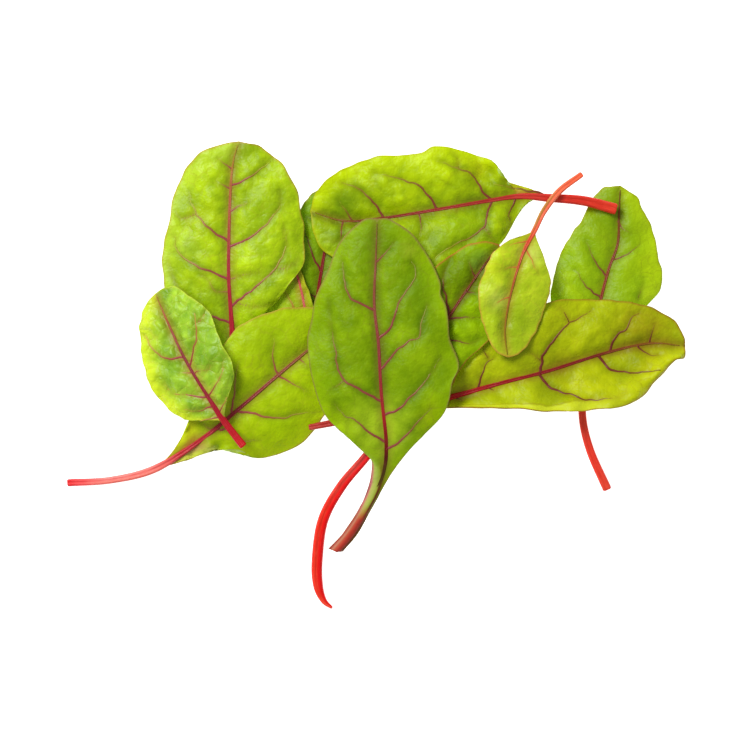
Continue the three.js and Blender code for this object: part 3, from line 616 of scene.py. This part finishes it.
def build_stalk(name):
    leaf, rib, start, node = LEAVES[name], ribs[name], starts[name], name + "_stem"
    first = np.array([0, 0.12, 0.3, 0.55, 0.9]) / rib.length
    share = np.r_[first, np.linspace(1.4 / rib.length, LAST_ROW, int(rib.length / 0.7))]
    spots, side = rib.at(share), rib.aside(share)
    within = clamped((share - start) / (1 - start))
    seen = leaf["seen"]
    cover = clamped((leaf["hood"] - within) * HOOD_SLOPE)
    width = spots[:, 2] * np.interp(within, [0, 0.02, 0.2, 0.85, 1], [1, 1, seen, seen, 0.3])
    if leaf["hood"]:
        width = width * (1 - 0.42 * clamped((leaf["hood"] + 0.07 - within) * 9))
    free = np.interp(share, *stalk_heights(name).T)
    bed = relief(name, spots[:, :2])[0] + 0.5 * BLADE_THICK + np.max(
        [sheets[name](spots[:, :2] + k * width[:, None] * side) for k in (-0.45, 0, 0.45)], axis=0)
    proud = RIB_PROUD + (0 if leaf["hood"] else FOOT_PROUD) * clamped(1 - within / 0.25)
    sunk = bed + proud - 0.3 * width - HOOD_SINK * cover
    into = np.maximum(cover, clamped((share - start) * rib.length / ENTRY))
    z = free + (sunk - free) * into**2 * (3 - 2 * into)
    z = np.convolve(np.pad(z, 3, mode="edge"), np.ones(7) / 7, mode="valid")
    z = np.maximum(z, STALK_FLATNESS * width)
    angle = np.linspace(0, 2 * math.pi, STALK_SIDES, endpoint=False)
    x, y = -0.5 * np.cos(angle), STALK_FLATNESS * np.sin(angle)
    section = np.c_[x, np.where(y > 0, 0.9 * y - CHANNEL * falloff(x, CHANNEL), y)]
    rounded = width * (0.7 + 0.3 * np.sqrt(1 - (1 - clamped(share * rib.length / 0.8)) ** 2))
    points, faces = tube(np.c_[spots[:, :2], z], side, rounded, rounded, section)
    masks = {
        "share": np.repeat(share, STALK_SIDES),
        "strand_x": np.repeat(share * rib.length, STALK_SIDES),
        "strand_y": np.tile(angle, len(share)),
    }
    return new_piece(name + "_stalk", points, faces, masks, node)


stalks = {name: build_stalk(name) for name in LEAVES}
print("rise in mm:", {name: round(stalk.dimensions.z / MM, 1) for name, stalk in stalks.items()})

# %% [markdown]
# ## Shaders as sums
# A finish is easier to read as a sum than as a tangle of nodes. Wire holds one socket of a
# material, and adding or multiplying wires adds the Math nodes. Every other node comes from
# Finish.node, which sets the node up first and then fills its sockets.

# %% A wire and a finish
class Wire:
    def __init__(self, finish, socket):
        self.finish, self.socket = finish, socket

    def math(self, operation, *others):
        return self.finish.node("Math", {"operation": operation}, dict(enumerate([self, *others])))

    def __add__(self, other):
        return self.math("ADD", other)

    __radd__ = __add__

    def __mul__(self, other):
        return self.math("MULTIPLY", other)

    __rmul__ = __mul__

    def __sub__(self, other):
        return self.math("SUBTRACT", other)

    def __rsub__(self, other):
        return self.finish.node("Math", {"operation": "SUBTRACT"}, {0: other, 1: self})

    def clamped(self):
        return self.finish.node("Clamp", {}, {0: self})


class Finish:
    def __init__(self, name):
        self.material = bpy.data.materials.new(name)
        self.material.use_nodes = True
        self.tree = self.material.node_tree
        self.shader = self.tree.nodes["Principled BSDF"]

    def fill(self, socket, value):
        if isinstance(value, Wire):
            self.tree.links.new(value.socket, socket)
        else:
            socket.default_value = value

    def node(self, kind, settings, inputs, output=0):
        made = self.tree.nodes.new("ShaderNode" + kind)
        for key, value in settings.items():
            if key == "stops":
                stops = made.color_ramp.elements
                while len(stops) > 1:
                    stops.remove(stops[-1])
                stops[0].position, stops[0].color = value[0]
                for at, tint in value[1:]:
                    stops.new(at).color = tint
            else:
                setattr(made, key, value)
        for key, value in inputs.items():
            self.fill(made.inputs[key], value)
        return Wire(self, made.outputs[output])

    def mask(self, name):
        return self.node("Attribute", {"attribute_name": name}, {}, "Fac")

    def place(self):
        return self.node("TexCoord", {}, {}, "Object")

    def vector(self, operation, first, second, output="Vector"):
        return self.node("VectorMath", {"operation": operation}, {0: first, 1: second}, output)

    def blend(self, factor, first, second):
        return self.node("Mix", {"data_type": "RGBA"}, {0: factor, 6: first, 7: second}, 2)

    def ramp(self, factor, stops):
        stops = [(at, colour(*tint)) for at, tint in stops]
        return self.node("ValToRGB", {"stops": stops}, {0: factor}, "Color")

    def grain(self, place, scale, detail, output=0):
        return self.node("TexNoise", {}, {"Vector": place, "Scale": scale, "Detail": detail}, output)

    def bump(self, height, strength, depth):
        return self.node("Bump", {}, {"Strength": strength, "Distance": depth, "Height": height},
                         "Normal")

    def surface(self, **sockets):
        for key, value in sockets.items():
            self.fill(self.shader.inputs[key.replace("_", " ")], value)
        return self.material


def colour(red, green, blue):
    """Screen values 0 to 255 as a linear colour."""
    linear = [c / 12.92 if c <= 0.04045 else ((c + 0.055) / 1.055) ** 2.4
              for c in (v / 255 for v in (red, green, blue))]
    return (*linear, 1.0)


print("a fresh leaf green, linear:", [round(c, 3) for c in colour(140, 175, 20)])

# %% [markdown]
# ## The green of a blade
# No leaf is one green. The swellings are painted lighter and the valleys darker, as painted
# light and shade, the rim can be yellow or reddish, and a brownish bloom follows the veins.
# The leaves share one recipe and differ in its colours: the middle ones are a deep green, the
# outer ones lean to yellow. Soft patches shift the green where a leaf is lighter or darker, a
# few of them as painted highlights or painted shadow, and a fine net of cells gives the small
# veins that are too thin to model.

# %% Colours of the blades
# Deep, light, vein bloom and rim, then the strength of the bloom, shine and puffing, the zone
# along the margin (colour, strength, and -1 or 1 if it favours the left or right side), and
# patches (x, y and reach in mm, colour).
GREENS = dict(
    right_back=((116, 152, 0), (156, 188, 4), (110, 96, 20), (150, 150, 10), 0.4, 0.12, 0.5,
        ((170, 200, 10), 0.8, 1), [(97, 27, 5, (184, 206, 30)), (66, 30, 6, (160, 190, 4)),
        (98, 40, 5, (170, 196, 0)), (82, 55, 14, (108, 142, 0)), (84, 26, 8, (128, 162, 0))]),
    back=((92, 126, 0), (136, 174, 4), (100, 70, 20), (130, 110, 20), 0.4, 0.1, 0.8,
        ((110, 150, 0), 0.4, 0), []),
    back_small=((122, 152, 0), (176, 204, 24), (180, 80, 50), (160, 150, 40), 0.4, 0.12, 0.8,
        ((170, 200, 10), 0.5, 0), []),
    top_left=((112, 143, 0), (178, 209, 6), (150, 96, 46), (168, 130, 50), 0.4, 0.15, 0.75,
        ((176, 206, 50), 0.7, -1), [(-67, 45, 5, (164, 198, 60)), (-50, 77, 7, (116, 150, 0)),
        (-60, 56, 6, (180, 204, 0)), (-40, 56, 6, (122, 158, 0))]),
    # In the top leaf the dark patch at (21, 46), beside the middle leaf's edge, is painted shadow.
    top=((94, 123, 0), (170, 197, 0), (130, 96, 24), (160, 156, 10), 0.4, 0.1, 0.6, ((186, 210, 0), 0.8, 1),
        [(-12, 61, 6, (78, 120, 0)), (14, 73, 17, (194, 220, 0)), (21, 46, 6, (104, 142, 0)),
        (36, 73, 7, (200, 214, 0)), (-16, 48, 5, (150, 182, 30)), (30, 52, 9, (126, 162, 0))]),
    lower_left=((130, 160, 0), (172, 200, 8), (146, 96, 50), (172, 130, 56), 0.4, 0.08, 0.4,
        ((166, 194, 8), 0.6, 1), [(-20, -20, 8, (172, 200, 0)), (-36, 10, 10, (130, 162, 6)),
        (-56, 2, 6, (152, 184, 6)), (-34, -21, 9, (164, 198, 0))]),
    right=((126, 140, 0), (176, 190, 4), (126, 74, 24), (140, 76, 30), 0.5, 0.1, 0.5,
        ((190, 200, 10), 0.6, 1), [(76, -5, 14, (188, 196, 0)), (45, -3, 12, (192, 208, 10)),
        (94, 15, 12, (140, 122, 8)), (97, 1, 8, (180, 186, 0)), (50, 7, 7, (134, 150, 4)),
        (66, 21, 6, (168, 180, 10)), (64, 3, 6, (120, 104, 4))]),
    # In the middle leaf the grey-green patch at (36.5, 39.5) is a painted highlight on a bulge.
    middle=((94, 128, 0), (156, 196, 0), (106, 60, 26), (180, 84, 46), 0.5, 0.06, 0.7,
        ((120, 156, 0), 0.6, 1), [(24, 34, 10, (84, 98, 2)), (33, 36, 10, (78, 102, 0)),
        (36.5, 39.5, 4, (112, 146, 56)), (42, 33, 4, (96, 118, 0)), (30, 6, 8, (150, 184, 6)),
        (36, 16, 8, (154, 188, 8))]),
    centre=((86, 118, 0), (134, 168, 4), (116, 76, 40), (136, 98, 66), 0.4, 0.06, 0.3,
        ((140, 176, 0), 0.8, 0), [(-14, -18, 9, (150, 180, 0)), (0, 48, 12, (86, 120, 6)),
        (14, 30, 9, (96, 132, 4)), (2, -18, 13, (176, 204, 40)), (16, 6, 8, (144, 176, 6)),
        (20, -14, 7, (152, 178, 0)), (-16, -2, 4, (118, 156, 0)), (12, 44, 4, (146, 160, 40)),
        (-18, 20, 6, (118, 152, 0))]),
    left=((100, 144, 6), (170, 208, 44), (184, 120, 60), (180, 196, 50), 0.4, 0.24, 1.5,
        ((200, 218, 20), 0.8, -1), [(-82, -4, 8, (208, 222, 24)), (-74, -14, 9, (210, 222, 16)),
        (-60, 8, 9, (120, 162, 30)), (-66, -4, 8, (142, 186, 40))]),
    # In the small leaf the whitish patches at (55, 43) and (42, 26) are painted highlights.
    small=((134, 162, 0), (190, 212, 30), (180, 116, 50), (184, 126, 50), 0.4, 0.18, 0.8,
        ((190, 212, 30), 0.6, 0), [(55, 43, 5, (208, 222, 100)), (52, 48, 4, (192, 202, 0)),
        (42, 26, 5, (204, 218, 90)), (47, 15, 12, (126, 158, 0)), (40, 38, 4, (206, 216, 20))]),
)
# Reach along the blade, a drift of the colours to the left, then the colours from the left
# margin across the stalk to the right one. On the centre leaf the ramps also paint light and
# shade: a lit pale left wing, a painted dark line of shade in the groove and a shaded right side.
FEET = dict(
    centre=[
        (0.28, 0.25, [(0, (200, 80, 110)), (0.14, (206, 110, 120)), (0.27, (186, 190, 100)),
            (0.45, (180, 204, 90)), (0.6, (164, 186, 60)), (0.68, (100, 50, 6)), (0.78, (84, 30, 0)),
            (0.84, (104, 120, 0)), (1, (128, 160, 0))]),
        (0.15, 0, [(0, (160, 40, 50)), (0.15, (176, 70, 70)), (0.25, (196, 136, 110)),
            (0.38, (196, 80, 60)), (0.5, (200, 50, 50)), (0.7, (184, 40, 40)), (0.82, (96, 28, 14)),
            (0.9, (110, 60, 20)), (1, (150, 140, 50))]),
    ],
    lower_left=[
        (0.22, 0, [(0, (186, 206, 16)), (0.36, (184, 190, 24)), (0.5, (176, 60, 46)),
            (0.58, (200, 170, 96)), (0.68, (188, 196, 70)), (1, (196, 212, 60))]),
    ],
    top=[
        (0.13, 0, [(0, (146, 172, 0)), (0.44, (142, 164, 0)), (0.52, (180, 100, 44)),
            (0.75, (176, 174, 30)), (1, (190, 204, 20))]),
    ],
)
# A turned margin, painted lighter as it faces the lamp: from which part of the half blade, and
# its painted light colour.
LIT_BANDS = dict(right=(0.72, (196, 206, 40)))
print(sum(len(row[-1]) for row in GREENS.values()), "patches of another green")

# %% Finish for the blades
# Features in a metre, because object coordinates are in metres.
CLOUDS, FLECKS, WARPS = 90.0, 520.0, 260.0
PUFFS, GRAINS, NET, THREADS = 300.0, 950.0, 230.0, 520.0
PATCH_STRENGTH, DRIFT = 0.6, 0.0022


def cells(f, place, feature, scale, **more):
    sockets = {"Vector": place, "Scale": scale, **more}
    return f.node("TexVoronoi", {"feature": feature}, sockets, "Distance")


def leaf_finish(name):
    deep, light, vein, rim = (colour(*c) for c in GREENS[name][:4])
    bloom, shine, puff, border, patches = GREENS[name][4:]
    f = Finish(name + "_green")
    place, along, across = f.place(), f.mask("along"), f.mask("across")
    cloud = f.grain(place, CLOUDS, 3.0)
    fleck = f.grain(place, FLECKS, 4.0)
    warp = f.vector("MULTIPLY", f.grain(place, WARPS, 2.0, "Color"), (DRIFT, DRIFT, DRIFT))
    bent = f.vector("ADD", place, warp)
    puffs = cells(f, bent, "SMOOTH_F1", PUFFS, Smoothness=0.7)
    grains = cells(f, bent, "SMOOTH_F1", GRAINS, Smoothness=0.7)
    net = cells(f, bent, "DISTANCE_TO_EDGE", NET)
    threads = cells(f, bent, "DISTANCE_TO_EDGE", THREADS)
    hollow = 1 - (net * 2.6).clamped()
    # Painted light and shade: the swell mask lightens the swellings and so leaves the valleys darker; cloud
    # and fleck vary the tone at random.
    light_share = (cloud - 0.5) * 1.7 + f.mask("swell") * 0.55 + (fleck - 0.5) * 0.6 + 0.12
    green = f.blend(light_share.clamped(), deep, light)
    plan = f.vector("MULTIPLY", place, (1, 1, 0))
    for x, y, reach, tint in patches:
        away = f.vector("DISTANCE", plan, (x * MM, y * MM, 0), "Value")
        share = (1.2 - away * (1 / (reach * MM)) + (cloud - 0.5) * 0.8).clamped()
        green = f.blend(share * PATCH_STRENGTH, green, colour(*tint))
    # Painted shade: the green darkens towards the edges of the puffs, where the bump sinks into valleys.
    green = f.blend((puffs * puffs * (0.5 + 0.5 * puff)).clamped(), green, deep)
    tint, strength, side = border
    zone = f.mask("border") * (0.5 + across * side).clamped() * (0.4 + 1.2 * cloud) * strength
    green = f.blend(zone.clamped(), green, colour(*tint))
    green = f.blend((1 - net * 14).clamped() * (cloud * 1.6 - 0.5).clamped() * 0.3, green, vein)
    green = f.blend((1 - threads * 9).clamped() * 0.08, green, light)
    # Painted light on the right leaf's turned-up margin, and painted shade along the crease where it turns.
    if name in LIT_BANDS:
        begin, tint = LIT_BANDS[name]
        away = across - begin + (cloud - 0.5) * 0.5
        crease_shade = (1 - away * away * 500).clamped() * cloud
        window = ((along - 0.03) * 12).clamped() * ((0.6 - along) * 5).clamped()
        green = f.blend((away * 14).clamped() * window * 0.7, green, colour(*tint))
        green = f.blend(crease_shade * window * 0.5, green, vein)
    # The foot ramps; on the centre leaf they hold a painted lit wing, painted groove shade and a painted
    # shaded side.
    for reach, drift, stops in FEET.get(name, []):
        shift = (1 - across * across) * ((along - 0.19) * 12).clamped() * drift
        wing = f.ramp(across * 0.5 + 0.5 + shift, stops)
        green = f.blend(((1.1 - along * (1 / reach)) * 3).clamped(), green, wing)
    green = f.blend(f.mask("vein_near") * bloom, green, vein)
    # Along the rib the valley takes the veins' tint: partly their brownish bloom, partly painted shade of
    # the valley.
    green = f.blend(f.mask("rib_near") * (bloom * 0.8), green, vein)
    green = f.blend(f.mask("rim") * 0.75, green, rim)
    lift = cloud * 1.2 - puffs * 0.8 + (1 - hollow * hollow) * (0.22 * puff)
    lift = lift * puff + fleck * 0.2 - grains * 0.25
    return f.surface(Base_Color=green, Roughness=0.28 + 0.24 * fleck,
                     Normal=f.bump(lift, 0.8, 0.0006), Specular_IOR_Level=shine)


def underside_finish():
    f = Finish("leaf_underside")
    cloud = f.grain(f.place(), 120.0, 3.0)
    pale = f.blend(cloud, colour(150, 180, 80), colour(180, 200, 115))
    pale = f.blend(f.mask("vein_near") * 0.5, pale, colour(190, 150, 120))
    return f.surface(Base_Color=pale, Roughness=0.6, Specular_IOR_Level=0.3)


underside = underside_finish()
for name, blade in blades.items():
    blade.data.materials.append(leaf_finish(name))
    blade.data.materials.append(underside)
print(len(blades["centre"].data.materials[0].node_tree.nodes), "nodes in the centre leaf's green")

# %% [markdown]
# ## Reds, pinks and salmon
# The stalk's colour changes from the cut end to the tip, so a ramp reads how far along a point
# lies. Fine streaks run along the stalk, because its strands do. A side vein starts with the
# colour of the rib and fades into the green.

# %% Colours of the stalks
# Stops along the stalk, then the side veins' start and end.
REDS = dict(
    right_back=([(0, (224, 72, 50)), (0.1, (230, 60, 42)), (0.35, (232, 70, 50)), (0.5, (150, 50, 36)),
        (1, (110, 80, 20))], (120, 60, 40), (128, 140, 10)),
    back=([(0, (150, 20, 20)), (1, (110, 30, 30))], (110, 20, 30), (90, 100, 10)),
    back_small=([(0, (220, 140, 130)), (1, (190, 60, 60))], (180, 60, 50), (150, 160, 30)),
    top_left=([(0, (170, 14, 36)), (0.35, (170, 30, 50)), (0.6, (160, 56, 60)), (0.85, (170, 110, 60)),
        (1, (160, 150, 40))], (140, 56, 60), (160, 176, 30)),
    top=([(0, (216, 60, 36)), (0.12, (206, 46, 30)), (0.28, (200, 56, 46)), (0.4, (164, 46, 40)),
        (0.8, (126, 50, 30)), (1, (130, 120, 10))], (116, 50, 34), (150, 160, 10)),
    lower_left=([(0, (226, 30, 40)), (0.05, (246, 90, 90)), (0.12, (252, 140, 132)),
        (0.25, (250, 130, 120)), (0.36, (190, 40, 50)), (0.6, (140, 40, 50)), (1, (140, 110, 40))],
        (150, 70, 60), (150, 168, 20)),
    right=([(0, (180, 60, 50)), (0.12, (170, 20, 20)), (0.3, (190, 14, 24)), (0.5, (150, 20, 26)),
        (0.75, (120, 36, 30)), (1, (140, 110, 20))], (104, 36, 26), (130, 100, 10)),
    middle=([(0, (244, 86, 60)), (0.05, (240, 56, 34)), (0.25, (236, 48, 28)), (0.36, (214, 70, 60)),
        (0.44, (180, 50, 50)), (0.6, (130, 20, 30)), (1, (110, 70, 20))], (110, 30, 34), (120, 124, 10)),
    # The centre stalk's dark olive stops from 0.24 to 0.31, where the rib comes out of its closed foot, are
    # its dark colour deepened by painted shade of the sunken groove.
    centre=([(0, (190, 26, 30)), (0.1, (150, 20, 24)), (0.24, (74, 60, 6)), (0.28, (70, 50, 6)),
        (0.31, (80, 20, 8)), (0.36, (120, 22, 18)), (0.43, (160, 30, 36)), (0.6, (140, 56, 56)),
        (0.85, (136, 84, 56)), (1, (120, 110, 40))], (130, 56, 50), (124, 136, 30)),
    left=([(0, (188, 4, 20)), (0.2, (162, 12, 34)), (0.35, (138, 30, 46)), (0.6, (124, 42, 44)),
        (0.85, (160, 90, 50)), (1, (160, 140, 50))], (140, 50, 50), (190, 150, 60)),
    small=([(0, (250, 110, 70)), (0.2, (240, 120, 84)), (0.32, (236, 110, 80)), (0.42, (216, 84, 50)),
        (0.52, (196, 90, 50)), (0.7, (160, 100, 40)), (1, (140, 130, 10))], (196, 100, 50), (186, 180, 30)),
)
# Where along the stalk its right half differs, from and to, and in which colour.
FAR_SIDES = dict(
    middle=(-1, 0.62, (224, 0, 8)), small=(0.14, 0.4, (180, 136, 56)),
    lower_left=(0.04, 0.34, (236, 120, 104)),
)
print(sum(len(row[0]) for row in REDS.values()), "stops of colour")

# %% Finish for stalks and side veins
def stalk_finish(name):
    f = Finish(name + "_stalk_red")
    share, round_it = f.mask("share"), f.mask("strand_y")
    base = f.ramp(share, REDS[name][0])
    strand = f.node("CombineXYZ", {}, {0: f.mask("strand_x") * 0.12, 1: round_it * 2.2})
    streak = f.grain(strand, 2.2, 3.0)
    mottle = f.grain(strand, 9.0, 2.0)
    if name in FAR_SIDES:
        begin, end, tint = FAR_SIDES[name]
        window = ((share - begin) * 12).clamped() * ((end - share) * 12).clamped()
        base = f.blend(((round_it - 1.5) * 3).clamped() * window * 0.9, base, colour(*tint))
    dark = f.vector("MULTIPLY", base, (0.84, 0.6, 0.62))
    pale = f.blend(0.2, base, colour(255, 150, 120))
    red = f.blend(((streak - 0.32) * 3).clamped(), dark, base)
    red = f.blend(((streak - 0.56) * 3).clamped(), red, pale)
    return f.surface(Base_Color=red, Roughness=0.22 + 0.2 * mottle,
                     Normal=f.bump(streak + mottle * 0.3, 0.35, 0.0003), Specular_IOR_Level=0.18)


def vein_finish(name):
    f = Finish(name + "_vein_red")
    fade = f.mask("fade")
    start, end = (colour(*tint) for tint in REDS[name][1:])
    tint = f.blend((fade * fade * 1.1).clamped(), start, end)
    return f.surface(Base_Color=tint, Roughness=0.4, Specular_IOR_Level=0.25)


for name in LEAVES:
    side_veins[name].data.materials.append(vein_finish(name))
    stalks[name].data.materials.append(stalk_finish(name))

# %% [markdown]
# ## Floor, light and camera
# The bunch lies on a white ground that is bright enough to burn out, as on a light table. A
# large soft lamp from the upper left shapes the leaves. A long lens straight above keeps the
# outlines true.

# %% Floor and light
bpy.ops.mesh.primitive_plane_add(size=8, location=(0, 0, -0.0004))
floor = bpy.context.object
floor.name = "floor"
ground = Finish("floor_white")
floor.data.materials.append(ground.surface(Base_Color=(0.8, 0.8, 0.8, 1), Roughness=0.9,
                                           Emission_Color=(1, 1, 1, 1), Emission_Strength=0.95))

LAMP_PLACE, LAMP_SIZE, LAMP_POWER = (-0.55, 0.6, 0.9), 0.45, 14
scene = bpy.context.scene
scene.view_settings.view_transform = "Standard"
scene.world = bpy.data.worlds.new("studio")
scene.world.use_nodes = True
sky = scene.world.node_tree.nodes["Background"].inputs
sky["Color"].default_value = (1, 1, 1, 1)
sky["Strength"].default_value = 0.5
light = bpy.data.lights.new("key", "AREA")
light.size, light.energy = LAMP_SIZE, LAMP_POWER
lamp = bpy.data.objects.new("key", light)
lamp.location = LAMP_PLACE
lamp.rotation_euler = (-Vector(LAMP_PLACE)).to_track_quat("-Z", "Y").to_euler()
scene.collection.objects.link(lamp)
print("lamp", round(Vector(LAMP_PLACE).length, 2), "m from the leaves")

# %% Camera
LENS, SENSOR, VIEW_WIDTH = 200, 36, 262.5
AIM = (-0.26, -0.09, 8)  # the view's centre in mm; at this height it is VIEW_WIDTH wide
camera = bpy.data.objects.new("camera", bpy.data.cameras.new("camera"))
scene.collection.objects.link(camera)
camera.data.lens, camera.data.sensor_width = LENS, SENSOR
distance = VIEW_WIDTH / SENSOR * LENS * MM
camera.location = (AIM[0] * MM, AIM[1] * MM, distance + AIM[2] * MM)
scene.camera = camera
print("camera", round(distance, 3), "m above the leaves")
